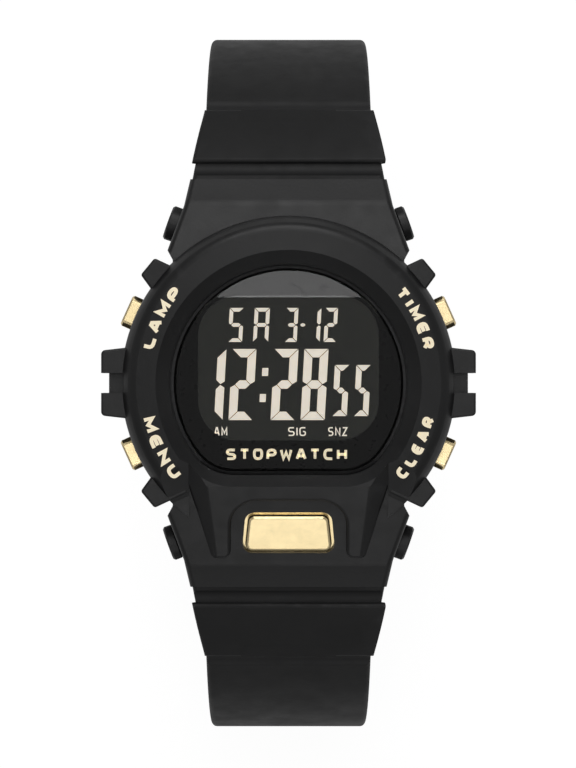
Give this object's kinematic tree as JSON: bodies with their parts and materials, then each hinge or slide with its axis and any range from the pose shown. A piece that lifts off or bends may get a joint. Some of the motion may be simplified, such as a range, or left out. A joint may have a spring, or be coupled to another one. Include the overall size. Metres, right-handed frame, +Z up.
{
  "type": "digital watch",
  "caption": "Digital sports watch with a resin guard, gilt pushers and a front button, its strap buckled into a loop.",
  "frame": {"origin": "on the floor, below the middle of the strap loop's bounding box", "axes": "+Z is up and normal to the dial, +Y is twelve o'clock, +X is three o'clock"},
  "size_m": [0.0414, 0.0802, 0.0575],
  "materials": {
    "guard_resin": "matt moulded resin",
    "case_resin": "matt moulded resin",
    "strap_resin": "matt moulded resin",
    "glass": "polished",
    "dark_rubber": "matt",
    "dial_print": "gloss",
    "display_glass": "smooth",
    "backlight_film": "satin",
    "module_plastic": "satin",
    "board_laminate": "satin",
    "chip_epoxy": "matt",
    "bright_metal": "bright",
    "contact_metal": "satin",
    "spring_steel": "satin",
    "buzzer_brass": "satin",
    "back_steel": "brushed",
    "screw_steel": "bright",
    "bar_steel": "bright",
    "gilt_metal": "polished"
  },
  "bodies": {
    "watch": {"bezel_guard": "guard_resin", "case_middle": "case_resin", "lens": "glass", "lens_gasket": "dark_rubber", "dial_mask": "dial_print", "lcd_panel": "display_glass", "backlight_panel": "backlight_film", "connector_strips": "dark_rubber", "module_frame": "module_plastic", "circuit_board": "board_laminate", "processor_chip": "chip_epoxy", "quartz_crystal": "bright_metal", "switch_contacts": "contact_metal", "cell_holder": "module_plastic", "coin_cell": "bright_metal", "battery_clip": "contact_metal", "buzzer_disc": "buzzer_brass", "buzzer_spring": "spring_steel", "case_back": "back_steel", "case_back_gasket": "dark_rubber", "case_back_screws": "screw_steel", "lug_bumpers": "guard_resin", "strap_short": "strap_resin", "strap_long": "strap_resin", "lug_spring_bar_upper": "bar_steel", "lug_spring_bar_lower": "bar_steel", "buckle_spring_bar": "bar_steel", "fixed_keeper": "strap_resin", "pusher_seals": "dark_rubber", "front_button_seal": "dark_rubber", "front_button_spring": "spring_steel", "pusher_spring_upper_left": "spring_steel", "pusher_spring_lower_left": "spring_steel", "pusher_spring_upper_right": "spring_steel", "pusher_spring_lower_right": "spring_steel"},
    "pusher_upper_left": {"pusher_upper_left": "gilt_metal", "pusher_clip_upper_left": "spring_steel"},
    "pusher_lower_left": {"pusher_lower_left": "gilt_metal", "pusher_clip_lower_left": "spring_steel"},
    "pusher_upper_right": {"pusher_upper_right": "gilt_metal", "pusher_clip_upper_right": "spring_steel"},
    "pusher_lower_right": {"pusher_lower_right": "gilt_metal", "pusher_clip_lower_right": "spring_steel"},
    "front_button": {"front_button": "gilt_metal"},
    "buckle_frame": {"buckle_frame": "back_steel"},
    "buckle_tongue": {"buckle_tongue": "back_steel"},
    "free_keeper": {"free_keeper": "strap_resin"}
  },
  "joints": [
    {"name": "pusher_slide_upper_left", "type": "slide", "parent": "watch", "child": "pusher_upper_left", "axis": [0.9114, -0.4115, 0], "range_m": [0, 0.0006], "stiffness_N_per_m": 500, "springref_m": -0.001, "deforming": ["pusher_spring_upper_left"]},
    {"name": "pusher_slide_lower_left", "type": "slide", "parent": "watch", "child": "pusher_lower_left", "axis": [0.9114, 0.4115, 0], "range_m": [0, 0.0006], "stiffness_N_per_m": 500, "springref_m": -0.001, "deforming": ["pusher_spring_lower_left"]},
    {"name": "pusher_slide_upper_right", "type": "slide", "parent": "watch", "child": "pusher_upper_right", "axis": [-0.9114, -0.4115, 0], "range_m": [0, 0.0006], "stiffness_N_per_m": 500, "springref_m": -0.001, "deforming": ["pusher_spring_upper_right"]},
    {"name": "pusher_slide_lower_right", "type": "slide", "parent": "watch", "child": "pusher_lower_right", "axis": [-0.9114, 0.4115, 0], "range_m": [0, 0.0006], "stiffness_N_per_m": 500, "springref_m": -0.001, "deforming": ["pusher_spring_lower_right"]},
    {"name": "front_button_slide", "type": "slide", "parent": "watch", "child": "front_button", "axis": [0, 0.2983, -0.9545], "range_m": [0, 0.0006], "stiffness_N_per_m": 500, "springref_m": -0.001, "deforming": ["front_button_spring"]},
    {"name": "buckle_frame_hinge", "type": "hinge", "parent": "watch", "child": "buckle_frame", "pos_m": [0, 0.004, 0.0057], "axis": [1, 0, 0], "range_deg": [0, 10]},
    {"name": "buckle_tongue_hinge", "type": "hinge", "parent": "buckle_frame", "child": "buckle_tongue", "pos_m": [0, 0.004, 0.0057], "axis": [1, 0, 0], "range_deg": [0, 10]},
    {"name": "free_keeper_slide", "type": "slide", "parent": "watch", "child": "free_keeper", "axis": [0, 1, 0], "range_m": [-0.002, 0.002]}
  ]
}
